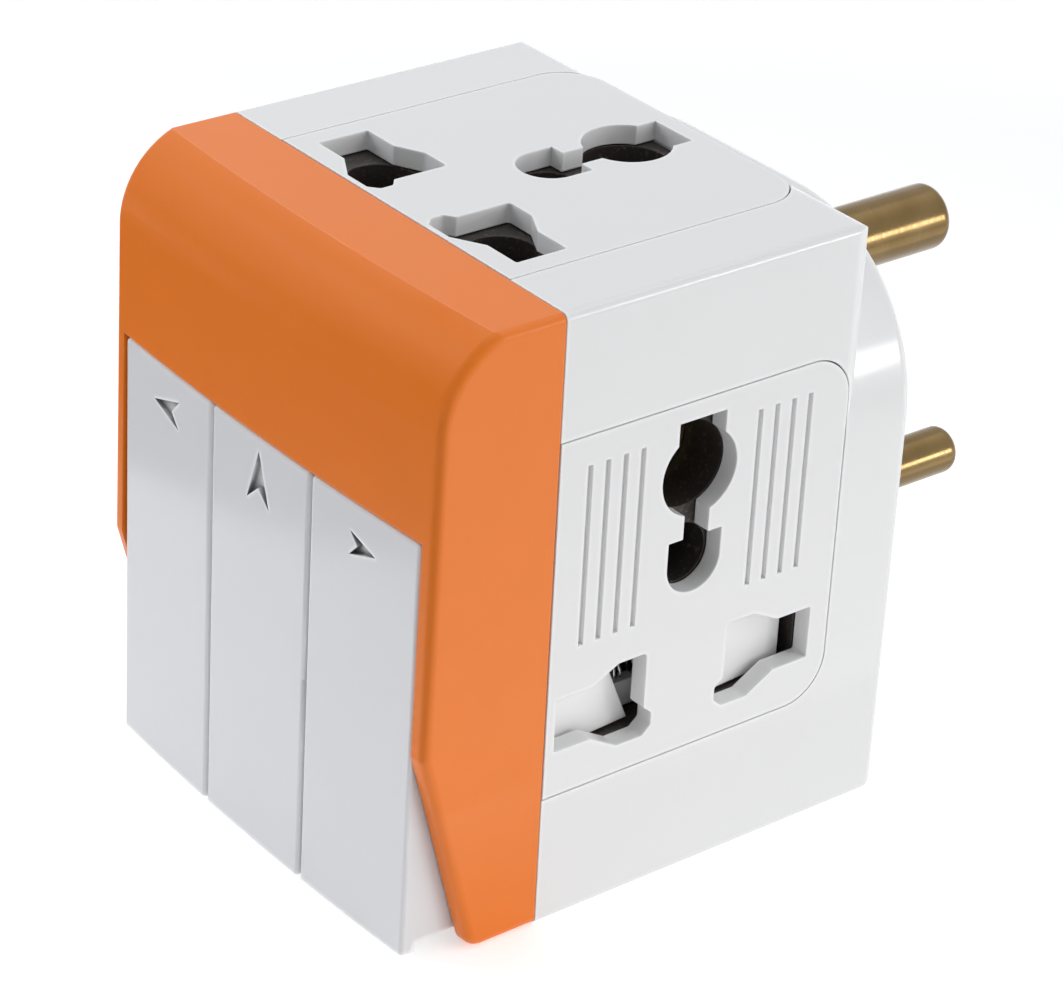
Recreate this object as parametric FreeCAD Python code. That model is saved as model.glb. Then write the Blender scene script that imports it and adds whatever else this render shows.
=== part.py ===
import FreeCAD, Part
import math
import os

os.makedirs("parts", exist_ok=True)
V = FreeCAD.Vector

# Axes: X across the case, Y from the switches to the plug pins, Z up.
# Lengths are millimetres. Y = 0 is the joint between housing and front cover while the
# pieces are built, and the whole part is moved back by half the housing depth at the end.

# Case
case_width = 53.0
case_height = 65.0
housing_depth = 36.6
wall = 2.0
edge_radius = 0.8
rear_corner_radius = 2.4
joint_gap = 0.1
slip = 0.15
hair = 0.01

# Raised back of the housing, with an arched top
boss_depth = 7.0
boss_drop = 4.3
boss_arch_radius = 18.0
boss_edge_radius = 1.4

# Pin base, which fills the raised back and stands out behind it
pin_base_flange = 3.6
pin_base_margin = 3.0
plinth_half_width = 15.0
plinth_below_line = 9.6
plinth_above_earth = 6.1
plinth_radius = 9.0
plinth_depth = 5.7
plinth_edge_radius = 1.0

# Plug pins, round, three in a triangle
earth_pin_rise = 14.8
pin_line_drop = 22.2
pin_half_pitch = 9.525
earth_pin_radius = 3.525
earth_pin_length = 20.6
live_pin_radius = 2.525
live_pin_length = 16.6
pin_tip_radius = 1.2
pin_collar_extra = 1.3
pin_collar_depth = 1.6
pin_neck = 0.4
pin_root_step = 0.3
pin_relief = 0.15
pin_relief_depth = 0.4
pin_tip_share = 0.6
pin_tail_share = 0.7
tail_gap = 0.4

# Socket layout on each plate: u along the two live holes, v from them to the earth hole
plate_half_width = 18.0
plate_earth_margin = 7.7
plate_live_margin = 7.9
plate_corner_radius = 4.8
flange_thickness = 1.2
flange_overlap = 1.3
flange_tongue = 1.4
side_plate_centre = 16.75
side_plate_rise = 0.7
top_live_depth = 5.6

# Holes of the plates
earth_hole_radius = 4.45
earth_slot_half_width = 2.8
earth_slot_reach = 5.8
earth_neck_half_width = 1.5
earth_small_radius = 3.2
earth_small_top = 6.7
earth_small_length = 6.0
live_slot_outer = 6.1
live_slot_low = 3.0
live_slot_high = 2.7
live_slot_inner = 1.8
live_lobe_high = 4.3
live_lobe_inner = 4.6
live_lobe_shoulder = 1.2
live_foot_inner = 5.6
live_foot_low = 4.9
live_foot_outer = 1.5
live_foot_drop = 0.4
live_foot_lift = 0.9
live_edge_radius = 0.25
live_foot_radius = 0.5
live_lobe_radius = 1.2

# Grooves beside the earth hole of the side plates
groove_count = 4
groove_first = 7.0
groove_pitch = 2.05
groove_width = 0.55
groove_depth = 0.45
groove_below = 14.3
groove_above = 4.6

# Insulating socket bases behind the plates
base_depth = 6.4
base_inset = 1.8
base_front_gap = 0.5
contact_clearance = 0.1
live_entry_radius = 3.9
earth_entry_radius = 4.6
small_entry_depth = 7.0

# Shutters of the side sockets
shutter_top_depth = 2.35
shutter_bar_depth = 4.9
shutter_bar_thickness = 1.3
shutter_low = 4.6
shutter_high = 5.0
shutter_outer = 15.2
shutter_end_reach = 5.0
shutter_nose_height = 0.6
shutter_nose_run = 2.2
shutter_nose_radius = 1.2
shutter_corner_radius = 0.2
shutter_far_foot = 5.2
shutter_far_head = 1.0
shutter_travel = 7.8
shutter_gap = 0.3
shutter_slope = 0.8
shutter_slope_run = 11.0
shutter_wedge = 4.9
shutter_post = 1.0
spring_solid = 2.2

# Shutter springs
coil_radius = 1.25
coil_wire = 0.2
coil_turns = 5

# Front cover: side profile, bowed across the width
cover_depth = 14.9
cover_bow = 0.9
cover_top_radius = 9.5
cover_crown = 0.7
cover_lean = 0.9
cheek_kink_height = 23.2
cheek_foot_depth = 8.6
cheek_foot_radius = 2.0
cheek_kink_radius = 1.5
cover_wall = 2.1
cheek_thickness = 1.8
brow_height = 19.7
window_back = 4.6
cheek_step_depth = 10.4
floor_bar_depth = 2.7
cover_edge_radius = 1.0

# Switch keys
key_count = 3
key_gap = 0.35
key_top_gap = 0.3
key_bottom = 0.8
key_side_rise = 1.0
key_wall = 1.5
key_side_wall = 1.1
key_lean = 0.6
key_front_depth = 15.0
key_edge_radius = 0.45
key_foot_depth = 8.4
key_heel_depth = 6.3
key_heel_height = 9.5
key_back_limit = 5.0
key_side_depth = 10.7
key_pivot_depth = 8.0
key_pivot_rise = 0.5
lug_gap = 0.33
lug_reach = 2.4
stem_guard = 8.0
lug_thickness = 1.2
lug_half_height = 3.4
lug_round = 1.6
stem_root_depth = 1.2
stem_root_skin = 0.4
trunnion_room = 3.0
trunnion_radius = 1.5
trunnion_end_gap = 0.15
running_fit = 0.05

# Direction marks pressed into the keys
mark_drop = 4.1
mark_lengths = (4.6, 5.6, 3.8)
mark_spread = 0.66
mark_notch = 0.3
mark_depth = 0.5

# Switch mechanism
frame_back = 1.8
frame_thickness = 1.4
frame_below = 21.0
frame_above = 8.0
frame_lintel = 2.0
rocker_side_room = 2.1
rocker_foot_room = 1.4
frame_side_gap = 0.2
rib_thickness = 1.4
rib_side_gap = 0.2
rib_half_height = 5.0
rib_front = 10.2
rib_nose = 2.0
rib_root = 0.2
stem_outer_radius = 2.5
stem_bore_radius = 1.7
stem_end = 6.0
plunger_radius = 1.6
plunger_tip_share = 0.7
plunger_tail = 3.2
plunger_nose_gap = 0.35
rocker_thickness = 0.8
rocker_width = 5.0
rocker_half_length = 7.0
rocker_tilt_deg = 4.0
fulcrum_radius = 0.5
fulcrum_depth = 2.6
fulcrum_gap = 0.08
contact_gap = 0.12

# Brass strips and contact sleeves
strip = 1.0
sleeve_wall = 0.7
live_sleeve_radius = 2.65
earth_sleeve_radius = 3.65
sleeve_start = 7.6
live_sleeve_length = 8.4
earth_sleeve_length = 10.2
sleeve_slit = 1.0
earth_strip_width = 5.5
seat_overlap = 0.2
strip_reach_share = 0.6
earth_tie_drop = 4.0
line_front_gap = 0.4
strip_half_width = 2.5
line_strip_inset = 3.5
line_foot_rise = 4.0
lead_half_width = 2.0
lead_side_gap = 0.92
lead_front = 1.0
lead_gap = 1.0
lead_drop = 3.5
lead_edge_over = 1.2
top_lead_over = 4.0
pillar_width = 2.0
line_strip_drop = 8.2
neutral_strip_drop = 4.0
switch_strip_rise = 1.0

# Screws that hold the cover and the housing together
post_radius = 2.5
post_inset_x = 4.7
post_inset_z = 6.9
post_foot_extra = 0.6
screw_radius = 1.2
screw_head_radius = 2.1
screw_head_depth = 1.6
screw_reach = 3.2
screw_tip_gap = 0.3
post_cap = 0.8
screw_slot_depth = 0.6
screw_slot_half = 0.3

# Derived places
half_width = case_width / 2
rear_wall_front = housing_depth - wall
boss_back = housing_depth + boss_depth
plug_face = boss_back + plinth_depth
boss_height = case_height - boss_drop
earth_pin_height = case_height / 2 + earth_pin_rise
line_pin_height = earth_pin_height - pin_line_drop
plinth_bottom = line_pin_height - plinth_below_line
plinth_top = earth_pin_height + plinth_above_earth
plate_top = pin_line_drop + plate_earth_margin
side_live_height = case_height / 2 + side_plate_rise - (plate_top - plate_live_margin) / 2
window_top = case_height - brow_height
key_pivot_height = case_height / 2 + key_pivot_rise
line_strip_height = side_live_height - line_strip_drop
neutral_strip_height = side_live_height - neutral_strip_drop
switch_strip_height = key_pivot_height + rocker_half_length + switch_strip_rise
frame_low = key_pivot_height - frame_below
frame_high = switch_strip_height + frame_above
flange_back = wall + flange_thickness
base_front = flange_back
base_back = base_front + base_depth
bow_radius = half_width ** 2 / (2 * cover_bow)
key_window_half = half_width - cheek_thickness
key_pitch = (2 * key_window_half - key_gap) / key_count
key_width = key_pitch - key_gap
key_top = window_top - key_top_gap
mark_height = key_top - mark_drop
key_centres = [(n - (key_count - 1) / 2) * key_pitch for n in range(key_count)]
post_x = half_width - post_inset_x
post_heights = (post_inset_z + post_foot_extra, case_height - post_inset_z)
cavity_half = half_width - wall
cover_inner_half = cavity_half - (cover_wall - wall)
switch_pitch = 2 * (cover_inner_half - rib_side_gap - rib_thickness / 2) / key_count
switch_centres = [(n - (key_count - 1) / 2) * switch_pitch for n in range(key_count)]
lug_half_spacing = switch_pitch / 2 - rib_thickness / 2 - lug_gap
stem_root = -(key_front_depth - key_wall - stem_root_depth)
lead_centre = half_width - base_back - lead_side_gap - lead_half_width
profile_back = bow_radius / 8


# Basic shapes

def box(x0, x1, y0, y1, z0, z1):
    """Solid block between two corners."""
    return Part.makeBox(x1 - x0, y1 - y0, z1 - z0, V(x0, y0, z0))


def rod(start, end, radius):
    """Solid cylinder between two points."""
    along = end - start
    return Part.makeCylinder(radius, along.Length, start, along)


def rounded_face(corners, place):
    """Face inside a polygon of (u, v, radius) corners, laid out by the place function."""
    count = len(corners)
    entries = []
    for n in range(count):
        u, v, radius = corners[n]
        here = V(u, v, 0)
        before = (V(*corners[n - 1][:2], 0) - here).normalize()
        after = (V(*corners[(n + 1) % count][:2], 0) - here).normalize()
        if radius <= 0:
            entries.append((here, None, here))
            continue
        half = before.getAngle(after) / 2
        run = radius / math.tan(half)
        inward = (before + after).normalize()
        middle = here + inward * (radius / math.sin(half) - radius)
        entries.append((here + before * run, middle, here + after * run))
    edges = []
    for n in range(count):
        start, middle, end = entries[n]
        if middle is not None:
            edges.append(Part.Arc(place(start), place(middle), place(end)).toShape())
        following = entries[(n + 1) % count][0]
        if (following - end).Length > 1e-6:
            edges.append(Part.LineSegment(place(end), place(following)).toShape())
    return Part.Face(Part.Wire(edges))


def prism_x(corners, x0, x1):
    """Prism along X from corners given as (y, z, radius)."""
    return rounded_face(corners, lambda p: V(x0, p.x, p.y)).extrude(V(x1 - x0, 0, 0))


def prism_y(corners, y0, y1):
    """Prism along Y from corners given as (x, z, radius)."""
    return rounded_face(corners, lambda p: V(p.x, y0, p.y)).extrude(V(0, y1 - y0, 0))


def prism_z(corners, z0, z1):
    """Prism along Z from corners given as (x, y, radius)."""
    return rounded_face(corners, lambda p: V(p.x, p.y, z0)).extrude(V(0, 0, z1 - z0))


def joined(first, *others):
    """One solid from pieces that overlap or share a face."""
    return first.fuse(list(others)).removeSplitter()


def mirrored(shape):
    """Mirror image across the middle plane of the case."""
    return shape.mirror(V(0, 0, 0), V(1, 0, 0))


def placed(shape, u_axis, v_axis, outward, origin):
    """Move a socket piece from its own frame to its face of the case."""
    matrix = FreeCAD.Matrix(
        u_axis.x, v_axis.x, outward.x, origin.x,
        u_axis.y, v_axis.y, outward.y, origin.y,
        u_axis.z, v_axis.z, outward.z, origin.z,
        0, 0, 0, 1)
    return shape.transformed(matrix, copy=True)


def on_right(shape):
    """Put a socket piece on the right face: u runs back, v runs up."""
    origin = V(half_width, side_plate_centre, side_live_height)
    return placed(shape, V(0, 1, 0), V(0, 0, 1), V(1, 0, 0), origin)


def on_top(shape):
    """Put a socket piece on the top face: u runs right, v runs back."""
    origin = V(0, top_live_depth, case_height)
    return placed(shape, V(1, 0, 0), V(0, 1, 0), V(0, 0, 1), origin)


def behind(shape, y):
    """The part of a shape that lies behind the plane at y."""
    far = 4 * case_height
    return shape.common(box(-far, far, y, far, -far, far))


# Housing

def boss_corners(inset, bottom):
    """Outline of the raised back, drawn in by inset."""
    radius = boss_arch_radius - inset
    half = half_width - inset
    top = boss_height - inset
    foot = edge_radius if bottom == 0 else 0
    return [(-half, bottom, foot), (half, bottom, foot), (half, top, radius), (-half, top, radius)]


def housing_block():
    """Solid outside form of the housing without its raised back."""
    half = half_width
    r = edge_radius
    across = prism_y([(-half, 0, r), (half, 0, r), (half, case_height, r), (-half, case_height, r)],
                     0, housing_depth)
    corner = rear_corner_radius
    plan = prism_z([(-half, -1, 0), (half, -1, 0), (half, housing_depth, corner),
                    (-half, housing_depth, corner)], 0, case_height)
    side = prism_x([(-1, 0, 0), (housing_depth, 0, 0), (housing_depth, case_height, corner),
                    (-1, case_height, 0)], -half, half)
    return across.common(plan).common(side)


def raised_back():
    """Arched block behind the housing with a rounded rear edge."""
    start = housing_depth - rear_corner_radius - edge_radius
    block = prism_y(boss_corners(0, 0), start, boss_back)
    rim = [e for e in block.Edges if e.BoundBox.YMin > boss_back - hair]
    return block.makeFillet(boss_edge_radius, rim)


def plate_corners(grow, joint):
    """Outline of a socket plate, grown outwards; square corners where it meets the cover."""
    low = -plate_live_margin - grow
    high = plate_top + grow
    half = plate_half_width + grow
    round_off = plate_corner_radius + grow
    near = 0 if joint == "along u" else round_off
    under = 0 if joint == "along v" else round_off
    return [(-half, low, 0), (half, low, under), (half, high, round_off), (-half, high, near)]


def flange_block(play, y0, y1):
    """Hollow of the raised back, with its lower corners left solid for the screws."""
    margin = pin_base_margin + play
    block = prism_y(boss_corners(margin, margin), y0, y1)
    edge = post_x - post_radius - play
    level = post_heights[0] + post_radius + play
    corners = [box(min(s * edge, s * case_width), max(s * edge, s * case_width), y0 - 1, y1 + 1,
                   -1, level) for s in (-1, 1)]
    return block.cut(corners)


def rear_screws(radius, y0, y1):
    """Four rods at the corner posts."""
    rods = [rod(V(side * post_x, y0, z), V(side * post_x, y1, z), radius)
            for side in (-1, 1) for z in post_heights]
    return rods


def post_rooms(y0, y1):
    """Room round each corner post and its web, out to the side wall."""
    reach = post_radius + slip
    return [box(min(s * (post_x - reach), s * cavity_half), max(s * (post_x - reach), s * cavity_half),
                y0, y1, z - reach, z + reach)
            for s in (-1, 1) for z in post_heights]


def screw_head_back(z):
    """Depth of the rear face at a corner post."""
    return boss_back if z < boss_height - boss_arch_radius else housing_depth


def main_housing():
    """White shell: three walls with plate cut-outs, floor, rear wall and raised back."""
    shell = joined(housing_block(), raised_back())
    inner = box(-cavity_half, cavity_half, -1, rear_wall_front, wall, case_height - wall)
    shell = shell.cut(inner)
    hollow = flange_block(0, rear_wall_front - 1, boss_back - wall)
    window = prism_y(plinth_corners(slip), boss_back - wall - 1, boss_back + 1)
    side_cut = prism_z(plate_corners(slip, "along u"), -wall - 1, 1)
    right = on_right(side_cut)
    top = on_top(prism_z(plate_corners(slip, "along v"), -wall - 1, 1))
    shell = shell.cut([hollow, window, right, mirrored(right), top])
    posts = [behind(p, 0) for p in rear_screws(post_radius, 0, rear_wall_front + 1)]
    webs = [box(min(s * post_x, s * cavity_half), max(s * post_x, s * cavity_half), 0,
                rear_wall_front, z - wall / 2, z + wall / 2)
            for s in (-1, 1) for z in post_heights]
    shell = joined(shell, *posts, *webs)
    holes = rear_screws(screw_radius + slip, -1, boss_back + 1)
    for side in (-1, 1):
        for z in post_heights:
            face = screw_head_back(z)
            holes.append(rod(V(side * post_x, face - screw_head_depth - wall / 2, z),
                             V(side * post_x, boss_back + 1, z), screw_head_radius + slip))
    return shell.cut(holes)


def plinth_corners(grow):
    """Outline of the plinth that carries the pins."""
    half = plinth_half_width + grow
    r = plinth_radius + grow
    return [(-half, plinth_bottom - grow, r), (half, plinth_bottom - grow, r),
            (half, plinth_top + grow, r), (-half, plinth_top + grow, r)]


def pin_places():
    """Centre, radius and free length of the earth, line and neutral pins."""
    return {
        "earth_pin": (V(0, 0, earth_pin_height), earth_pin_radius, earth_pin_length),
        "line_pin": (V(pin_half_pitch, 0, line_pin_height), live_pin_radius, live_pin_length),
        "neutral_pin": (V(-pin_half_pitch, 0, line_pin_height), live_pin_radius, live_pin_length),
    }


def plug_pin(place, radius, length):
    """Turned pin: rounded tip, a neck and a collar inside the base, and a tail for its strip."""
    collar_back = boss_back - wall - joint_gap
    tip = plug_face + length
    shoulder = plug_face + pin_neck
    pin = rod(V(place.x, shoulder, place.z), V(place.x, tip, place.z), radius)
    end = [e for e in pin.Edges if e.BoundBox.YMin > tip - hair]
    pin = pin.makeFillet(min(pin_tip_radius, radius * pin_tip_share), end)
    neck = rod(V(place.x, collar_back - pin_collar_depth, place.z),
               V(place.x, shoulder, place.z), radius - pin_root_step)
    collar = rod(V(place.x, collar_back - pin_collar_depth, place.z),
                 V(place.x, collar_back, place.z), radius + pin_collar_extra)
    tail = rod(V(place.x, tail_front(), place.z),
               V(place.x, collar_back - pin_collar_depth, place.z), radius * pin_tail_share)
    return joined(pin, neck, collar, tail)


def tail_front():
    """Where the tails of the pins meet the busbars."""
    return rear_wall_front - joint_gap - tail_gap


def pin_base():
    """Moulded base: a flange inside the raised back and a plinth, with a relief round each pin."""
    back = boss_back - wall
    flange = flange_block(slip, back - pin_base_flange, back)
    plinth = prism_y(plinth_corners(0), back, plug_face)
    rim = [e for e in plinth.Edges if e.BoundBox.YMin > plug_face - hair]
    plinth = plinth.makeFillet(plinth_edge_radius, rim)
    base = joined(flange, plinth)
    collar_back = back - joint_gap
    for place, radius, _ in pin_places().values():
        base = base.cut(rod(V(place.x, 0, place.z), V(place.x, plug_face + 1, place.z),
                            radius - pin_root_step))
        base = base.cut(rod(V(place.x, 0, place.z), V(place.x, collar_back, place.z),
                            radius + pin_collar_extra))
        base = base.cut(rod(V(place.x, plug_face - pin_relief_depth, place.z),
                            V(place.x, plug_face + 1, place.z), radius + pin_relief))
    return base


# Socket plates, in their own frame: u, v, and Z pointing out of the case

def earth_hole(depth):
    """Round hole with a slot above and a small hole below, joined by a neck."""
    centre = pin_line_drop
    small_top = centre - earth_small_top
    small_centre = small_top - earth_small_length + earth_small_radius
    w = earth_slot_half_width
    n = earth_neck_half_width
    s = earth_small_radius
    circle = rod(V(0, centre, -depth), V(0, centre, 1), earth_hole_radius)
    slot = box(-w, w, centre, centre + earth_slot_reach, -depth, 1)
    neck = box(-n, n, small_top - 1, centre, -depth, 1)
    small = box(-s, s, small_centre, small_top, -depth, 1)
    cup = rod(V(0, small_centre, -depth), V(0, small_centre, 1), s)
    return joined(circle, slot, neck, small, cup)


def live_hole(depth):
    """Hole for a line or neutral pin: slot outside, lobe inside, foot below."""
    c = pin_half_pitch
    edge = live_edge_radius
    foot = live_foot_radius
    corners = [
        (c + live_slot_outer, -live_slot_low, edge),
        (c + live_slot_outer, live_slot_high, edge),
        (c + live_slot_inner, live_slot_high, edge),
        (c - live_lobe_shoulder, live_lobe_high, live_lobe_radius),
        (c - live_lobe_inner, live_lobe_high, foot),
        (c - live_lobe_inner, -live_slot_low + live_lobe_shoulder, edge),
        (c - live_foot_inner, -live_slot_low + live_foot_drop, foot),
        (c - live_foot_inner, -live_foot_low + live_foot_lift, foot),
        (c - live_lobe_inner, -live_foot_low, foot),
        (c - live_foot_outer, -live_foot_low, foot),
        (c + live_slot_inner, -live_slot_low, foot),
    ]
    return prism_z(corners, -depth, 1)


def socket_plate(joint, grooved):
    """Plate flush with the case, with a flange behind the wall."""
    plate = prism_z(plate_corners(0, joint), -wall, 0)
    rim = prism_z(plate_corners(flange_overlap, joint), -flange_back, -wall)
    rim = rim.cut(prism_z(plate_corners(-base_inset, joint), -flange_back - 1, 0))
    plate = joined(plate, rim)
    hole = live_hole(flange_back + 1)
    cuts = [earth_hole(flange_back + 1), hole, mirrored(hole)]
    if grooved:
        cuts.append(shutter_room(-wall))
        for side in (-1, 1):
            for n in range(groove_count):
                u = side * (groove_first + n * groove_pitch)
                low = pin_line_drop - groove_below
                high = pin_line_drop + groove_above
                cuts.append(box(u - groove_width / 2, u + groove_width / 2, low, high,
                                -groove_depth, 1))
    return plate.cut(cuts)


def trimmed_plate(plate):
    """Cut the placed plate at the joint, leaving a tongue under the front cover."""
    far = 4 * case_height
    plate = behind(plate, -flange_tongue)
    tuck = cavity_half - cover_inner_half + slip
    before = box(-far, far, -far, joint_gap, -far, far)
    tongue = box(tuck - cavity_half, cavity_half - tuck, -far, far, -far, case_height - wall - tuck)
    after = box(-cavity_half, cavity_half, rear_wall_front - slip, far, -far, case_height - wall)
    return plate.cut([before.cut(tongue), after, *post_rooms(-far, far)])


# Insulating bases

def socket_base(joint):
    """Dark block behind a plate with entries for the pins and seats for the sleeves."""
    block = prism_z(plate_corners(-base_inset - slip, joint), -base_back, -wall - slip)
    c = pin_half_pitch
    cuts = []
    for u, v, entry, sleeve in (
            (c, 0, live_entry_radius, live_sleeve_radius),
            (-c, 0, live_entry_radius, live_sleeve_radius),
            (0, pin_line_drop, earth_entry_radius, earth_sleeve_radius)):
        seat = sleeve + sleeve_wall + contact_clearance
        cuts.append(rod(V(u, v, -sleeve_start), V(u, v, 1), min(entry, seat)))
        cuts.append(rod(V(u, v, -base_back - 1), V(u, v, -sleeve_start), seat))
    small = pin_line_drop - earth_small_top - earth_small_length + earth_small_radius
    cuts.append(rod(V(0, small, -small_entry_depth), V(0, small, 1), earth_small_radius - slip))
    return block.cut(cuts)


def shutter_room(top):
    """Space that a shutter needs behind the depth top, over its whole travel."""
    return box(-shutter_outer - shutter_travel - shutter_gap, shutter_outer + shutter_gap,
               -shutter_low - shutter_gap, shutter_high + shutter_gap,
               -shutter_bar_depth - shutter_bar_thickness - shutter_gap, top)


def spring_depth():
    """Depth of the spring's middle line under the face of the plate."""
    return shutter_bar_depth + shutter_bar_thickness / 2


def spring_start():
    """Where the spring leaves the fixed post, along u."""
    return spring_end() - shutter_travel - spring_solid


def spring_end():
    """Where the spring pushes on the shutter, just before its near wedge."""
    return pin_half_pitch - shutter_wedge - contact_clearance


def spring_channel(start, end, gap):
    """Space round the spring between two places along u."""
    half = coil_radius + coil_wire + gap
    return box(start, end, -half, half, -spring_depth() - half, -spring_depth() + half)


def side_base():
    """Base of a side socket: room for the shutter, and a groove and post for its spring."""
    base = behind(on_right(socket_base("along u")), base_front_gap)
    start = spring_start()
    groove = spring_channel(start - shutter_post, spring_end() + shutter_gap, shutter_gap)
    post = spring_channel(start - shutter_post, start, 0.0)
    floor = shutter_bar_depth + shutter_bar_thickness + shutter_gap
    root = spring_channel(start - shutter_post, start, shutter_gap).cut(
        box(-case_width, case_width, -case_width, case_width, -floor, 0))
    base = base.cut([on_right(shutter_room(0)), on_right(groove), *post_rooms(0, housing_depth)])
    return joined(base, on_right(joined(post, root)))


def top_base():
    """Base of the top socket, clear of the corner posts."""
    base = behind(on_top(socket_base("along v")), base_front_gap)
    return base.cut(post_rooms(0, housing_depth))


# Shutters

def shutter():
    """Bar with a window for the spring and a wedge behind each live hole."""
    low = -shutter_low
    high = shutter_high
    bar_top = -shutter_bar_depth
    face = -shutter_top_depth
    right_end = pin_half_pitch + shutter_end_reach
    corner = shutter_corner_radius
    near_start = pin_half_pitch - shutter_wedge
    bar = box(-shutter_outer, right_end, low, high, bar_top - shutter_bar_thickness, bar_top)
    near = prism_z([(near_start, low, 0), (right_end, low, corner),
                    (right_end, shutter_nose_height, shutter_nose_radius),
                    (right_end - shutter_nose_run, high, 0), (near_start, high, 0)], bar_top, face)
    far = prism_z([(-shutter_outer, low, 0), (-pin_half_pitch + shutter_far_foot, low, 0),
                   (-pin_half_pitch + shutter_far_head, high, 0), (-shutter_outer, high, 0)],
                  bar_top, face)
    piece = joined(bar, near, far)
    for left in (-shutter_outer, near_start):
        slope = prism_y([(left - joint_gap, face + 1, 0), (left - joint_gap, face, 0),
                         (left + shutter_slope_run, face - shutter_slope, 0),
                         (left + shutter_slope_run, face + 1, 0)],
                        low - 1, high + 1)
        piece = piece.cut(slope)
    window = spring_channel(spring_start() - shutter_post - shutter_gap, spring_end(), shutter_gap)
    return piece.cut(window)


def coil(start, end, radius, wire, turns):
    """Helical spring between two points on a line along X, Y or Z."""
    along = end - start
    length = along.Length - 2 * wire
    helix = Part.makeHelix(length / turns, length, radius)
    section = Part.Wire(Part.makeCircle(wire, V(radius, 0, 0), V(0, 1, 0)))
    spring = Part.Wire(helix.Edges).makePipeShell([section], True, False)
    turn = FreeCAD.Rotation(V(0, 0, 1), along)
    shift = start + V(along).normalize() * wire
    return spring.transformed(FreeCAD.Placement(shift, turn).toMatrix(), copy=True)


def shutter_spring():
    """Spring between the fixed post and the end of the shutter window."""
    start = V(spring_start(), 0, -spring_depth())
    end = V(spring_end(), 0, -spring_depth())
    return coil(start, end, coil_radius, coil_wire, coil_turns)


# Front cover

def cover_profile(inset, cheek):
    """Side outline at the middle plane as (distance forward, height, radius).

    Its top stands above the case by the crown, so that the level top cuts the rounding in a crease.
    """
    front = cover_depth - inset
    lean = front - cover_lean
    top = case_height + cover_crown - inset
    bottom = inset
    radius = cover_top_radius - inset
    if not cheek:
        return [(-profile_back, bottom, 0), (front, bottom, 0), (lean, top, radius),
                (-profile_back, top, 0)]
    return [(-profile_back, bottom, 0), (cheek_foot_depth, bottom, cheek_foot_radius),
            (front, cheek_kink_height, cheek_kink_radius), (lean, top, radius),
            (-profile_back, top, 0)]


def bowed(profile):
    """Sweep a side profile round a far vertical axis, which bows the front."""
    centre = bow_radius - cover_depth
    face = rounded_face(profile, lambda p: V(0, -p.x, p.y))
    spread = math.degrees(2 * half_width / bow_radius)
    face.rotate(V(0, centre, 0), V(0, 0, 1), -spread)
    return face.revolve(V(0, centre, 0), V(0, 0, 1), 2 * spread)


def side_edges(solid, nearest, top):
    """Upright edges where the bowed front meets a flat side, below the level top."""
    return [e for e in solid.Edges if e.BoundBox.XLength < hair and e.BoundBox.YMax < nearest
            and e.BoundBox.ZMin > hair and e.BoundBox.ZMax < top]


def front_cover():
    """Orange cover: brow above the keys, cheeks beside them, open at the back."""
    r = edge_radius
    half = half_width
    across = prism_y([(-half, 0, r), (half, 0, r), (half, case_height, r), (-half, case_height, r)],
                     -2 * cover_depth, -joint_gap)
    lane = box(-half, half, -2 * cover_depth, -joint_gap, -1, case_height + 1)
    block = bowed(cover_profile(0, True)).common(lane)
    rims = side_edges(block, -edge_radius, case_height - edge_radius)
    block = block.makeFillet(cover_edge_radius, rims)
    block = block.common(across)
    inner = cover_inner_half
    between = min(key_window_half, inner)
    low = cover_wall
    high = case_height - cover_wall
    hollow = bowed(cover_profile(cover_wall, False))
    middle = hollow.common(box(-between, between, -2 * cover_depth, 1, low, high))
    wide = hollow.common(box(-inner, inner, -cheek_step_depth, 1, low, high))
    window = box(-key_window_half, key_window_half, -2 * cover_depth, -window_back, -1, window_top)
    floor = box(-key_window_half, key_window_half, -2 * cover_depth, -floor_bar_depth, -1,
                cover_wall + 1)
    cover = block.cut([middle, wide, window, floor])
    posts = rear_screws(post_radius, -screw_reach - post_cap, -joint_gap)
    webs = [box(min(s * post_x, s * (inner + 1)), max(s * post_x, s * (inner + 1)),
                -screw_reach - post_cap, -joint_gap, z - wall / 2, z + wall / 2)
            for s in (-1, 1) for z in post_heights]
    cover = joined(cover, *posts, *webs)
    return cover.cut(rear_screws(screw_radius, -screw_reach, 0))


# Keys

def key_skin(inset, bottom, rounding):
    """Bowed block with the outside face of the key row, drawn in by inset."""
    front = key_front_depth - inset
    return bowed([(key_back_limit, bottom, 0), (front, bottom, 0),
                  (front - key_lean, key_top - inset, rounding), (key_back_limit, key_top - inset, 0)])


def mark(angle_deg, length):
    """Notched arrowhead cut into the key face, turned by the angle."""
    half = length / 2
    wing = length * mark_spread / 2
    notch = half - length * mark_notch
    points = [(0, half, 0), (wing, -half, 0), (0, -notch, 0), (-wing, -half, 0)]
    blank = prism_y(points, -key_front_depth - 2, -key_front_depth + key_lean + mark_depth)
    blank.rotate(V(0, 0, 0), V(0, 1, 0), angle_deg)
    return blank


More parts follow.
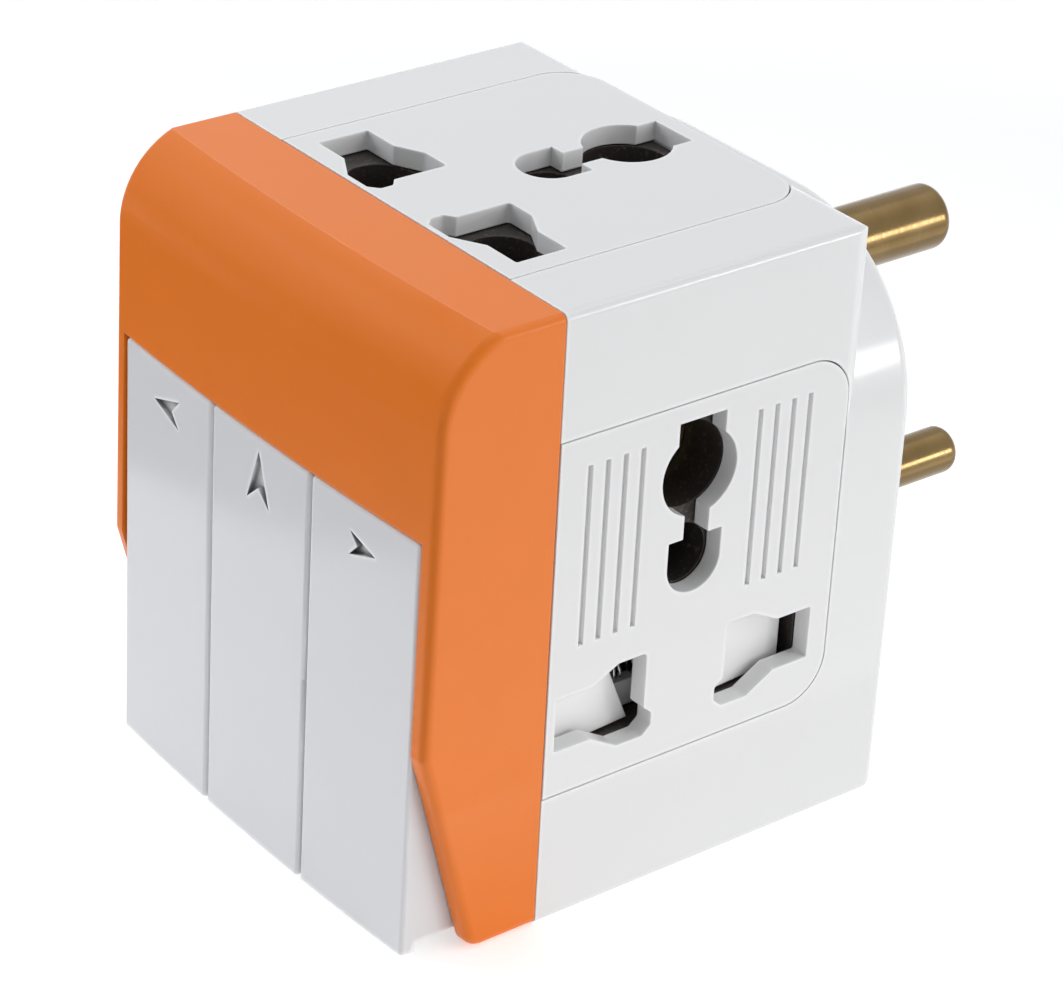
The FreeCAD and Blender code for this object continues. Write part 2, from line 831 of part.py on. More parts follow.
def key_shell(left, right):
    """Solid form and hollow skin of a key between two X values."""
    far = 2 * cover_depth
    lane = box(left, right, -far, 0, 0, case_height)
    floor = key_bottom + key_side_rise
    lip = bowed([(0, -1, 0), (key_front_depth - key_wall, -1, 0),
                 (key_front_depth - key_wall, floor, 0), (0, floor, 0)])
    solid = key_skin(0, key_bottom, key_edge_radius).common(lane)
    nearest = -key_front_depth + key_lean + cover_bow + key_edge_radius
    solid = solid.makeFillet(key_edge_radius, side_edges(solid, nearest, case_height)).cut(lip)
    room = key_skin(key_wall, floor + key_wall, 0).common(
        box(left + key_side_wall, right - key_side_wall, -far, 0, 0, case_height))
    upper = box(left, right, -far, -key_side_depth, 0, case_height)
    lower = prism_x([(-far, 0, 0), (-key_heel_depth, 0, 0), (-key_foot_depth, key_heel_height, 0),
                     (-key_foot_depth, cheek_kink_height, 0), (-far, cheek_kink_height, 0)],
                    left, right)
    return solid, solid.cut(room).common(joined(upper, lower))


def switch_key(centre, seat, angle_deg, mark_length):
    """Long key: bowed face, side walls, foot, and on the seat its lugs, trunnions and stem."""
    left = centre - key_width / 2
    right = centre + key_width / 2
    rear = -key_side_depth
    solid, shell = key_shell(left, right)
    pieces = [shell]
    z = key_pivot_height
    y = -key_pivot_depth
    for side in (-1, 1):
        outer = seat + side * lug_half_spacing
        inner = outer - side * lug_thickness
        x0, x1 = min(inner, outer), max(inner, outer)
        lug = prism_x([(stem_root - 1, z - lug_half_height, 0),
                       (y + lug_reach, z - lug_reach, lug_round),
                       (y + lug_reach, z + lug_reach, lug_round),
                       (stem_root - 1, z + lug_half_height, 0)], x0, x1)
        reach = seat + side * (switch_pitch / 2 - trunnion_end_gap)
        pieces.append(lug)
        pieces.append(rod(V(min(inner, reach), y, z), V(max(inner, reach), y, z), trunnion_radius))
    pieces.append(rod(V(seat, stem_root - 1, z), V(seat, -stem_end, z), stem_outer_radius))
    key = joined(*pieces)
    key = key.common(joined(solid, box(left, right, rear - 1, 0, z - stem_guard, z + stem_guard),
                            box(centre - key_pitch, centre + key_pitch, rear, 0,
                                z - trunnion_room, z + trunnion_room)))
    bore = rod(V(seat, stem_root - stem_root_skin, z), V(seat, 0, z), stem_bore_radius)
    arrow = mark(angle_deg, mark_length)
    arrow.translate(V(centre, centre ** 2 / (2 * bow_radius), mark_height))
    return key.cut([bore, arrow])


def plunger(centre):
    """Round-nosed pin in the stem of a key, pressing on the rocker contact."""
    nose = -rocker_front() - plunger_nose_gap
    pin = rod(V(centre, -stem_end - plunger_tail, key_pivot_height),
              V(centre, nose, key_pivot_height), plunger_radius)
    tip = [e for e in pin.Edges if e.BoundBox.YMin > nose - hair]
    return pin.makeFillet(plunger_radius * plunger_tip_share, tip)


def rocker_front():
    """Distance of the upright rocker contact in front of the joint."""
    return fulcrum_depth + fulcrum_radius + fulcrum_gap + rocker_thickness


def plunger_spring(centre):
    """Spring between the bottom of the stem and its plunger."""
    z = key_pivot_height
    start = V(centre, stem_root - stem_root_skin, z)
    end = V(centre, -stem_end - plunger_tail, z)
    return coil(start, end, coil_radius, coil_wire, coil_turns - 1)


# Switch frame and contacts

def switch_frame():
    """Moulded frame behind the keys, with a rib for the trunnions on each side of a key."""
    half = cavity_half - frame_side_gap
    front = -frame_back - frame_thickness
    frame = box(-half, half, front, -frame_back, frame_low, frame_high)
    cuts = []
    for side in (-1, 1):
        shelf = half_width - shutter_bar_depth - shutter_bar_thickness - 2 * shutter_gap
        x0, x1 = min(side * shelf, side * (half + 1)), max(side * shelf, side * (half + 1))
        cuts.append(box(x0, x1, front - 1, 0, side_live_height - shutter_low - shutter_gap * 2,
                        side_live_height + shutter_high + shutter_gap * 2))
    for centre in switch_centres:
        room = rocker_width / 2 + rocker_side_room
        cuts.append(box(centre - room, centre + room, front - 1, 0,
                        key_pivot_height - rocker_half_length - rocker_foot_room,
                        switch_strip_height + frame_lintel))
    frame = frame.cut(cuts + post_rooms(front - 1, 0))
    ribs = []
    for n in range(key_count + 1):
        x = (n - key_count / 2) * switch_pitch
        ribs.append(prism_x([(-rib_front, key_pivot_height - rib_half_height + rib_nose, rib_nose),
                             (-frame_back - rib_root, key_pivot_height - rib_half_height, 0),
                             (-frame_back - rib_root, key_pivot_height + rib_half_height, 0),
                             (-rib_front, key_pivot_height + rib_half_height - rib_nose, rib_nose)],
                            x - rib_thickness / 2, x + rib_thickness / 2))
    frame = joined(frame, *ribs)
    reach = switch_pitch * (key_count / 2 + 1)
    axle = rod(V(-reach, -key_pivot_depth, key_pivot_height),
               V(reach, -key_pivot_depth, key_pivot_height), trunnion_radius + running_fit)
    return frame.cut(axle)


def rocker_contact(centre):
    """See-saw strip on its fulcrum, shown with the upper end clear of its contact."""
    z = key_pivot_height
    back = -fulcrum_depth - fulcrum_radius - fulcrum_gap
    strip_piece = box(centre - rocker_width / 2, centre + rocker_width / 2, back - rocker_thickness,
                      back, z - rocker_half_length, z + rocker_half_length)
    strip_piece.rotate(V(centre, -fulcrum_depth, z), V(1, 0, 0), rocker_tilt_deg)
    return strip_piece


def sleeve(start, end, radius, slit_side):
    """Split contact sleeve along a line, open on the given side."""
    tube = rod(start, end, radius + sleeve_wall).cut(rod(start, end, radius))
    reach = radius + sleeve_wall + 1
    half = sleeve_slit / 2
    lowest = V(min(start.x, end.x), min(start.y, end.y), min(start.z, end.z))
    highest = V(max(start.x, end.x), max(start.y, end.y), max(start.z, end.z))
    across = [V(1, 0, 0), V(0, 1, 0), V(0, 0, 1)]
    for axis in across:
        along = abs((end - start).normalize().dot(axis))
        towards = slit_side.dot(axis)
        if along > 0.5:
            continue
        if abs(towards) > 0.5:
            highest = highest + axis * (reach if towards > 0 else 0)
            lowest = lowest - axis * (reach if towards < 0 else 0)
        else:
            highest = highest + axis * half
            lowest = lowest - axis * half
    return tube.cut(box(lowest.x, highest.x, lowest.y, highest.y, lowest.z, highest.z))


def side_sleeve(side, y, z, radius, length, slit_side):
    """Sleeve of a side socket; side is 1 on the right and -1 on the left."""
    start = V(side * (half_width - sleeve_start), y, z)
    end = V(side * (half_width - sleeve_start - length), y, z)
    return sleeve(start, end, radius, slit_side)


def top_sleeve(x, y, radius, length, slit_side):
    """Sleeve of the top socket."""
    start = V(x, y, case_height - sleeve_start)
    end = V(x, y, case_height - sleeve_start - length)
    return sleeve(start, end, radius, slit_side)


def earth_busbar():
    """Folded strip that joins the three earth sleeves and the earth pin."""
    y = side_plate_centre
    z = side_live_height + pin_line_drop
    top_y = top_live_depth + pin_line_drop
    outer = earth_sleeve_radius + sleeve_wall
    up = V(0, 0, 1)
    sleeves = [side_sleeve(s, y, z, earth_sleeve_radius, earth_sleeve_length, up) for s in (-1, 1)]
    sleeves.append(top_sleeve(0, top_y, earth_sleeve_radius, earth_sleeve_length, V(0, -1, 0)))
    level = z - outer
    half = earth_strip_width / 2
    reach = half_width - sleeve_start - earth_sleeve_length * strip_reach_share
    riser = tail_front()
    floor = level - strip + seat_overlap
    tie_low = case_height - sleeve_start - earth_tie_drop
    cross = box(-reach, reach, y - half, y + half, floor, floor + strip)
    back = box(-half, half, y, riser, floor, floor + strip)
    rise = box(-half, half, riser - strip, riser, floor, tie_low + strip)
    tie = box(-half, half, top_y + outer - seat_overlap, riser, tie_low, tie_low + strip)
    return joined(cross, back, rise, tie, *sleeves)


def neutral_busbar():
    """Folded strip that joins the three neutral sleeves and the neutral pin."""
    y_front = side_plate_centre - pin_half_pitch
    y_rear = side_plate_centre + pin_half_pitch
    z = side_live_height
    outer = live_sleeve_radius + sleeve_wall
    up = V(0, 0, 1)
    level = neutral_strip_height
    riser = tail_front()
    sleeves = [
        side_sleeve(1, y_front, z, live_sleeve_radius, live_sleeve_length, up),
        side_sleeve(-1, y_rear, z, live_sleeve_radius, live_sleeve_length, up),
        top_sleeve(-pin_half_pitch, top_live_depth, live_sleeve_radius, live_sleeve_length,
                   V(-1, 0, 0)),
    ]
    reach = half_width - sleeve_start - live_sleeve_length * strip_reach_share
    inner = -pin_half_pitch + outer - seat_overlap
    edge = inner + 2 * strip_half_width
    w = strip_half_width
    pillar = [box(min(s * reach, s * (reach - pillar_width)), max(s * reach, s * (reach - pillar_width)),
                  y - lead_half_width, y + lead_half_width, level, z - outer + seat_overlap)
              for s, y in ((1, y_front), (-1, y_rear))]
    spine = box(inner, edge, y_front - w, riser, level, level + strip)
    right = box(inner, reach, y_front - w, y_front + w, level, level + strip)
    left = box(-reach, edge, y_rear - w, y_rear + w, level, level + strip)
    tab = box(-pin_half_pitch - w, edge, riser - strip, riser, level, line_pin_height + w)
    rise = box(inner, inner + strip, top_live_depth - w, top_live_depth + w, level,
               case_height - sleeve_start - pillar_width)
    foot = box(inner, edge, top_live_depth - w, y_front + w, level, level + strip)
    return joined(spine, right, left, tab, rise, foot, *pillar, *sleeves)


def line_busbar():
    """Strip from the line pin to the fulcrum of each switch."""
    riser = tail_front()
    level = line_strip_height
    front = -line_front_gap
    x0 = pin_half_pitch - line_strip_inset
    tab = box(x0, pin_half_pitch + strip_half_width, riser - strip, riser, level,
              line_pin_height + strip_half_width)
    run = box(x0, x0 + 2 * strip_half_width, front - strip, riser, level, level + strip)
    edge = switch_centres[-1] + lead_half_width
    cross = box(-edge, edge, front - strip, front, level, level + line_foot_rise)
    pieces = [tab, run, cross]
    for centre in switch_centres:
        x0 = centre - lead_half_width
        x1 = centre + lead_half_width
        pieces.append(box(x0, x1, front - strip, front, level, key_pivot_height + 2 * fulcrum_radius))
        ridge = rod(V(x0, -fulcrum_depth, key_pivot_height), V(x1, -fulcrum_depth, key_pivot_height),
                    fulcrum_radius)
        web = box(x0, x1, -fulcrum_depth, front - strip / 2,
                  key_pivot_height - fulcrum_radius, key_pivot_height + fulcrum_radius)
        pieces.extend([ridge, web])
    return joined(*pieces)


def contact_pad_front():
    """Distance of a fixed contact in front of the joint."""
    back = fulcrum_radius + fulcrum_gap
    swing = math.radians(rocker_tilt_deg)
    return fulcrum_depth + back - rocker_half_length * math.sin(swing) - contact_gap


def switched_lead(centre):
    """Pad behind the upper end of a rocker contact, with the first fold of its strip."""
    front = -contact_pad_front()
    level = switch_strip_height
    x0 = centre - lead_half_width
    x1 = centre + lead_half_width
    pad = box(x0, x1, front, front + strip, key_pivot_height + rocker_half_length - lead_half_width,
              level + strip)
    fold = box(x0, x1, front, 2 * lead_front, level, level + strip)
    return [pad, fold]


def left_line_contact():
    """Switched strip from the left switch to the line sleeve of the left socket."""
    x0 = -lead_centre - lead_half_width
    x1 = -lead_centre + lead_half_width
    y = side_plate_centre - pin_half_pitch
    outer = live_sleeve_radius + sleeve_wall
    front = y - outer - strip + seat_overlap
    fall = box(x0, x1, front, front + strip, side_live_height - lead_half_width,
               switch_strip_height + strip)
    link = box(x0, x1, lead_front, front + strip, switch_strip_height, switch_strip_height + strip)
    tube = side_sleeve(-1, y, side_live_height, live_sleeve_radius, live_sleeve_length, V(0, 0, 1))
    return joined(fall, link, tube, *switched_lead(-lead_centre))


def right_line_contact():
    """Switched strip from the right switch to the line sleeve of the right socket."""
    x0 = lead_centre - lead_half_width
    x1 = lead_centre + lead_half_width
    y = side_plate_centre + pin_half_pitch
    outer = live_sleeve_radius + sleeve_wall
    level = side_live_height + outer + lead_drop
    fall = box(x0, x1, lead_front, lead_front + strip, level, switch_strip_height + strip)
    run = box(x0, x1, lead_front, y + strip / 2, level, level + strip)
    drop = box(x0, x1, y - strip / 2, y + strip / 2, side_live_height + outer - seat_overlap, level)
    tube = side_sleeve(1, y, side_live_height, live_sleeve_radius, live_sleeve_length, V(0, 0, -1))
    return joined(fall, run, drop, tube, *switched_lead(lead_centre))


def top_line_contact():
    """Switched strip from the middle switch to the line sleeve of the top socket."""
    centre = switch_centres[1]
    x0 = centre - lead_half_width
    x1 = centre + lead_half_width
    outer = live_sleeve_radius + sleeve_wall
    front = top_live_depth - outer - strip + seat_overlap
    low = switch_strip_height
    high = case_height - sleeve_start - live_sleeve_length + top_lead_over
    neck = box(x0, x1, front, front + strip, low, high)
    wide = box(x0, pin_half_pitch + lead_edge_over, front, front + strip, low + strip + lead_gap, high)
    fold = box(x0, x1, lead_front, front + strip, low, low + strip)
    tube = top_sleeve(pin_half_pitch, top_live_depth, live_sleeve_radius, live_sleeve_length,
                      V(1, 0, 0))
    return joined(neck, wide, fold, tube, *switched_lead(centre))


# Screws

def housing_screws():
    """Four countersunk-head screws from the rear of the housing into the cover."""
    screws = []
    for side in (-1, 1):
        for z in post_heights:
            seat = screw_head_back(z) - wall / 2
            x = side * post_x
            shank = rod(V(x, -screw_reach + screw_tip_gap, z), V(x, seat, z), screw_radius)
            head = rod(V(x, seat - screw_head_depth, z), V(x, seat, z), screw_head_radius)
            slot = box(x - screw_head_radius, x + screw_head_radius, seat - screw_slot_depth,
                       seat + 1, z - screw_slot_half, z + screw_slot_half)
            screws.append(joined(shank, head).cut(slot))
    return Part.makeCompound(screws)


# Assembly

def build():
    """All pieces by name."""
    right_plate = trimmed_plate(on_right(socket_plate("along u", True)))
    right_base = side_base()
    right_shutter = on_right(shutter())
    right_spring = on_right(shutter_spring())
    pieces = {
        "main_housing": main_housing(),
        "front_cover": front_cover(),
        "pin_base": pin_base(),
        "socket_plate_right": right_plate,
        "socket_plate_left": mirrored(right_plate),
        "socket_plate_top": trimmed_plate(on_top(socket_plate("along v", False))),
        "socket_base_right": right_base,
        "socket_base_left": mirrored(right_base),
        "socket_base_top": top_base(),
        "shutter_right": right_shutter,
        "shutter_left": mirrored(right_shutter),
        "shutter_spring_right": right_spring,
        "shutter_spring_left": mirrored(right_spring),
        "switch_frame": switch_frame(),
        "earth_busbar": earth_busbar(),
        "neutral_busbar": neutral_busbar(),
        "line_busbar": line_busbar(),
        "line_contact_left": left_line_contact(),
        "line_contact_top": top_line_contact(),
        "line_contact_right": right_line_contact(),
        "housing_screws": housing_screws(),
    }
    for name, (place, radius, length) in pin_places().items():
        pieces[name] = plug_pin(place, radius, length)
    sides = zip(("left", "middle", "right"), key_centres, switch_centres, (-90, 0, 90), mark_lengths)
    for name, centre, seat, angle, length in sides:
        pieces["switch_key_" + name] = switch_key(centre, seat, angle, length)
        pieces["plunger_" + name] = plunger(seat)
        pieces["plunger_spring_" + name] = plunger_spring(seat)
        pieces["rocker_contact_" + name] = rocker_contact(seat)
    return pieces


for name, piece in build().items():
    piece.translate(V(0, -housing_depth / 2, 0))
    count = len(piece.Solids)
    print(name, "valid", piece.isValid(), "solids", count, "volume", round(piece.Volume, 1))
    piece.exportStep("parts/" + name + ".step")
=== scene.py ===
"""Looks for a multi socket adapter.

A white box with plug pins behind, sockets on three faces and three keys in an orange cover.
"""

from __future__ import annotations

import logging
import math
from dataclasses import dataclass, field
from enum import Enum

import bpy
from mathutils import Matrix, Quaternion, Vector


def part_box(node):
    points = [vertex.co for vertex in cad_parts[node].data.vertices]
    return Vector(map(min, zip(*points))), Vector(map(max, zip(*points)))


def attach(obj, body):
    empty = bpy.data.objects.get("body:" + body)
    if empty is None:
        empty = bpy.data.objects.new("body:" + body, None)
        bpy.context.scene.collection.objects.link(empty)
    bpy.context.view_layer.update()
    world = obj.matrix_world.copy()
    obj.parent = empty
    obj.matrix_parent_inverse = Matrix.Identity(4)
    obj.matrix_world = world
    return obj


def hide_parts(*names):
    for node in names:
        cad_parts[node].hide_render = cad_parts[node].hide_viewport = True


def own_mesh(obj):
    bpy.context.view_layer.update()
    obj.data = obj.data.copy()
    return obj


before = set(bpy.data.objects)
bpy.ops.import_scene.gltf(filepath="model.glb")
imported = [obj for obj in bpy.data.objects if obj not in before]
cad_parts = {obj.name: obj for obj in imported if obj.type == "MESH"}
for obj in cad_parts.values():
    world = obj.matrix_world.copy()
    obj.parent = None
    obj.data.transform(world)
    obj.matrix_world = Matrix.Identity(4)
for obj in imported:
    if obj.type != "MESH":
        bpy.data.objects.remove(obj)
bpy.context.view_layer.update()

LOG = logging.getLogger("adapter")
MM = 0.001
WHITE = (1.0, 1.0, 1.0)
BLUISH = (0.9, 0.94, 1.0)
FAINT_BLUE = (0.93, 0.955, 1.0)
# Scale of Blender's wave texture that gives one band per unit of length
WAVES_PER_UNIT = 0.31416
# Openness of a corner at which the painted shade or highlight is at full strength, and at which
# there is none
CORNER_OPENNESS = (0.45, 0.95)
Colour = tuple[float, float, float]
Point = tuple[float, float, float]


class Side(Enum):
    """The three faces that carry a socket."""

    LEFT = "left"
    TOP = "top"
    RIGHT = "right"


class KeyPlace(Enum):
    """The three keys of the switch row."""

    LEFT = "left"
    MIDDLE = "middle"
    RIGHT = "right"


def mapped(tree: bpy.types.NodeTree, value: bpy.types.NodeSocket, given: tuple[float, float],
           wanted: tuple[float, float], clamp: bool = True) -> bpy.types.NodeSocket:
    """Map a value from one range to another.

    Args:
        tree: Node tree that gets the node.
        value: What is mapped.
        given: Start and end of the given range.
        wanted: Results at that start and end.
        clamp: Whether the result stays between the two.

    Returns:
        The mapped value.
    """
    node = tree.nodes.new("ShaderNodeMapRange")
    node.clamp = clamp
    node.inputs["From Min"].default_value, node.inputs["From Max"].default_value = given
    node.inputs["To Min"].default_value, node.inputs["To Max"].default_value = wanted
    tree.links.new(value, node.inputs["Value"])
    return node.outputs["Result"]


class NodeGraph:
    """Small helper that adds and wires the shader nodes of one material."""

    def __init__(self, name: str) -> None:
        """Start a material with a single principled shader.

        Args:
            name: Name of the new material.
        """
        self.material = bpy.data.materials.new(name)
        self.material.use_nodes = True
        self.nodes = self.material.node_tree.nodes
        self.links = self.material.node_tree.links
        self.shader = self.nodes["Principled BSDF"]
        self.place = self.add("ShaderNodeTexCoord").outputs["Object"]

    def add(self, kind: str, **values: object) -> bpy.types.Node:
        """Add a node and set its properties.

        Args:
            kind: Type name of the shader node.
            values: Properties to set on it.

        Returns:
            The new node.
        """
        node = self.nodes.new(kind)
        for key, value in values.items():
            setattr(node, key, value)
        return node

    def noise(self, scale: float, detail: float = 2.0, stretch: Point = (1.0, 1.0, 1.0),
              roughness: float = 0.5) -> bpy.types.NodeSocket:
        """Noise over the object's own coordinates.

        Args:
            scale: Features per metre.
            detail: Octaves of finer noise.
            stretch: Scale of each axis before the noise.
            roughness: Strength of the finer octaves.

        Returns:
            The factor output, from 0 to 1.
        """
        mapping = self.add("ShaderNodeMapping")
        mapping.inputs["Scale"].default_value = stretch
        self.links.new(self.place, mapping.inputs["Vector"])
        node = self.add("ShaderNodeTexNoise")
        node.inputs["Scale"].default_value = scale
        node.inputs["Detail"].default_value = detail
        node.inputs["Roughness"].default_value = roughness
        self.links.new(mapping.outputs["Vector"], node.inputs["Vector"])
        return node.outputs["Fac"]

    def ramp(self, value: bpy.types.NodeSocket, low: Colour, high: Colour,
             start: float = 0.0, end: float = 1.0) -> bpy.types.NodeSocket:
        """Colour ramp between two colours.

        Args:
            value: What drives the ramp.
            low: Colour at the start.
            high: Colour at the end.
            start: Position of the low colour.
            end: Position of the high colour.

        Returns:
            The colour output.
        """
        node = self.add("ShaderNodeValToRGB")
        node.color_ramp.elements[0].position = start
        node.color_ramp.elements[1].position = end
        node.color_ramp.elements[0].color = (*low, 1.0)
        node.color_ramp.elements[1].color = (*high, 1.0)
        self.links.new(value, node.inputs["Fac"])
        return node.outputs["Color"]

    def spread(self, value: bpy.types.NodeSocket, low: float, high: float) -> bpy.types.NodeSocket:
        """Map a 0 to 1 value to a range.

        Args:
            value: What is mapped.
            low: Result at 0.25.
            high: Result at 0.75.

        Returns:
            The mapped value.
        """
        return mapped(self.material.node_tree, value, (0.25, 0.75), (low, high), clamp=False)

    def softened(self, radius: float) -> bpy.types.NodeSocket:
        """Normal with the edges rounded off.

        Args:
            radius: Radius of the rounding in metres.

        Returns:
            The normal output.
        """
        node = self.add("ShaderNodeBevel", samples=8)
        node.inputs["Radius"].default_value = radius
        return node.outputs["Normal"]

    def painted_corner_light(self, colour: bpy.types.NodeSocket, reach: float, painted_gain: float,
               inside: bool) -> bpy.types.NodeSocket:
        """Scale a colour near the piece's own corners: painted shade in its hollows, or a painted
        highlight on its outward edges.

        Args:
            colour: Colour on open faces.
            reach: How far from the corner the change begins, in metres.
            painted_gain: What the colour is multiplied with in the corner.
            inside: Whether outward edges are meant, not inward ones.

        Returns:
            The colour output.
        """
        # Occlusion of the piece's own shape drives painted shade in hollows, or with inside set, a
        # painted highlight on outward edges
        corner = self.add("ShaderNodeAmbientOcclusion", samples=8, inside=inside, only_local=True)
        corner.inputs["Distance"].default_value = reach
        gain = mapped(self.material.node_tree, corner.outputs["AO"], CORNER_OPENNESS,
                      (painted_gain, 1.0))
        node = self.add("ShaderNodeVectorMath", operation="SCALE")
        self.links.new(colour, node.inputs["Vector"])
        self.links.new(gain, node.inputs["Scale"])
        return node.outputs["Vector"]

    def bump(self, height: bpy.types.NodeSocket, depth: float,
             normal: bpy.types.NodeSocket | None = None) -> bpy.types.NodeSocket:
        """Bump from a height.

        Args:
            height: Height from 0 to 1.
            depth: Real depth of the relief in metres.
            normal: Normal that the bump is added to.

        Returns:
            The normal output.
        """
        node = self.add("ShaderNodeBump")
        node.inputs["Strength"].default_value = 1.0
        node.inputs["Distance"].default_value = depth
        self.links.new(height, node.inputs["Height"])
        if normal is not None:
            self.links.new(normal, node.inputs["Normal"])
        return node.outputs["Normal"]

    def into(self, output: bpy.types.NodeSocket, socket: str) -> None:
        """Wire an output to a socket of the shader.

        Args:
            output: Output to wire.
            socket: Name of the shader's socket.
        """
        self.links.new(output, self.shader.inputs[socket])


@dataclass(frozen=True)
class MouldedPlastic:
    """Injection-moulded plastic: faint mottling, fine grain and a slow waviness in its gloss."""

    name: str
    colour: Colour
    roughness: float = 0.32
    specular: float = 0.5
    mottle: float = 0.008
    mottles_per_metre: float = 160.0
    polish_per_metre: float = 300.0
    polish_spread: float = 0.02
    grain_per_metre: float = 1500.0
    grain_depth: float = 0.0000005
    wave_per_metre: float = 75.0
    wave_depth: float = 0.00002
    edge_radius: float = 0.00022
    # Painted shade in the piece's own hollows; a gain of 1 leaves it out
    painted_shade_gain: float = 1.0
    painted_shade_reach: float = 0.001
    # Painted highlight on the piece's outward edges; a gain of 1 leaves it out
    painted_highlight_gain: float = 1.0
    painted_highlight_reach: float = 0.0005

    def make(self) -> bpy.types.Material:
        """Build the material.

        Returns:
            The finished material.
        """
        graph = NodeGraph(self.name)
        low = tuple(c * (1 - self.mottle) for c in self.colour)
        high = tuple(min(1.0, c * (1 + self.mottle)) for c in self.colour)
        tone = graph.ramp(graph.noise(self.mottles_per_metre, 1.0), low, high)
        # Painted shade in the piece's own hollows
        if self.painted_shade_gain != 1.0:
            tone = graph.painted_corner_light(tone, self.painted_shade_reach, self.painted_shade_gain, inside=False)
        # Painted highlight on the piece's outward edges
        if self.painted_highlight_gain != 1.0:
            tone = graph.painted_corner_light(tone, self.painted_highlight_reach, self.painted_highlight_gain, inside=True)
        graph.into(tone, "Base Color")
        polish = graph.noise(self.polish_per_metre, 1.0)
        graph.into(graph.spread(polish, self.roughness - self.polish_spread,
                                self.roughness + self.polish_spread), "Roughness")
        graph.shader.inputs["Specular IOR Level"].default_value = self.specular
        edges = graph.softened(self.edge_radius)
        waves = graph.bump(graph.noise(self.wave_per_metre, 1.0), self.wave_depth, edges)
        grain = graph.bump(graph.noise(self.grain_per_metre, 1.0), self.grain_depth, waves)
        graph.into(grain, "Normal")
        return graph.material


@dataclass(frozen=True)
class PhenolicResin:
    """Dark pressed resin with pale specks of filler."""

    name: str
    colour: Colour
    speck: Colour = (0.10, 0.075, 0.06)
    specks_per_metre: float = 2600.0
    speck_edge: tuple[float, float] = (0.58, 0.72)
    polish_per_metre: float = 700.0
    pits_per_metre: float = 1800.0
    pit_depth: float = 0.00001
    edge_radius: float = 0.0002
    roughness: float = 0.55
    polish_spread: float = 0.08

    def make(self) -> bpy.types.Material:
        """Build the material.

        Returns:
            The finished material.
        """
        graph = NodeGraph(self.name)
        specks = graph.noise(self.specks_per_metre, 3.0)
        graph.into(graph.ramp(specks, self.colour, self.speck, *self.speck_edge), "Base Color")
        polish = graph.noise(self.polish_per_metre)
        graph.into(graph.spread(polish, self.roughness - self.polish_spread,
                                self.roughness + self.polish_spread), "Roughness")
        pits = graph.noise(self.pits_per_metre, 3.0)
        graph.into(graph.bump(pits, self.pit_depth, graph.softened(self.edge_radius)), "Normal")
        return graph.material


@dataclass(frozen=True)
class TurnedBrass:
    """Brass turned on a lathe: fine rings round the pin and a few dull patches."""

    name: str
    colour: Colour
    tarnish: Colour
    patches_per_metre: float = 190.0
    patch_edge: tuple[float, float] = (0.38, 0.62)
    streaks_per_metre: float = 40.0
    streak_stretch: float = 60.0
    ring_pitch: float = 0.00022
    ring_depth: float = 0.0000012
    edge_radius: float = 0.0003
    roughness: float = 0.2
    smoother: float = 0.07
    rougher: float = 0.1

    def make(self) -> bpy.types.Material:
        """Build the material.

        Returns:
            The finished material.
        """
        graph = NodeGraph(self.name)
        patches = graph.noise(self.patches_per_metre, 5.0)
        graph.into(graph.ramp(patches, self.tarnish, self.colour, *self.patch_edge), "Base Color")
        graph.shader.inputs["Metallic"].default_value = 1.0
        streak = graph.noise(self.streaks_per_metre, 3.0, (1.0, self.streak_stretch, 1.0))
        graph.into(graph.spread(streak, self.roughness - self.smoother,
                                self.roughness + self.rougher), "Roughness")
        wave = graph.add("ShaderNodeTexWave", wave_type="BANDS", bands_direction="Y",
                         wave_profile="SIN")
        wave.inputs["Scale"].default_value = WAVES_PER_UNIT / self.ring_pitch
        wave.inputs["Distortion"].default_value = 0.6
        wave.inputs["Detail"].default_value = 2.0
        graph.links.new(graph.place, wave.inputs["Vector"])
        edges = graph.softened(self.edge_radius)
        graph.into(graph.bump(wave.outputs["Fac"], self.ring_depth, edges), "Normal")
        return graph.material


@dataclass(frozen=True)
class RolledStrip:
    """Rolled strip metal with fine lines along the roll."""

    name: str
    colour: Colour
    roughness: float = 0.34
    lines: Point = (30.0, 1.0, 1.0)
    lines_per_metre: float = 110.0
    line_depth: float = 0.000004
    tones_per_metre: float = 240.0
    dark_share: float = 0.86
    edge_radius: float = 0.0001
    smoother: float = 0.08
    rougher: float = 0.1

    def make(self) -> bpy.types.Material:
        """Build the material.

        Returns:
            The finished material.
        """
        graph = NodeGraph(self.name)
        tone = tuple(c * self.dark_share for c in self.colour)
        graph.into(graph.ramp(graph.noise(self.tones_per_metre, 4.0), tone, self.colour),
                   "Base Color")
        graph.shader.inputs["Metallic"].default_value = 1.0
        lines = graph.noise(self.lines_per_metre, 4.0, self.lines)
        graph.into(graph.spread(lines, self.roughness - self.smoother,
                                self.roughness + self.rougher), "Roughness")
        graph.into(graph.bump(lines, self.line_depth, graph.softened(self.edge_radius)), "Normal")
        return graph.material


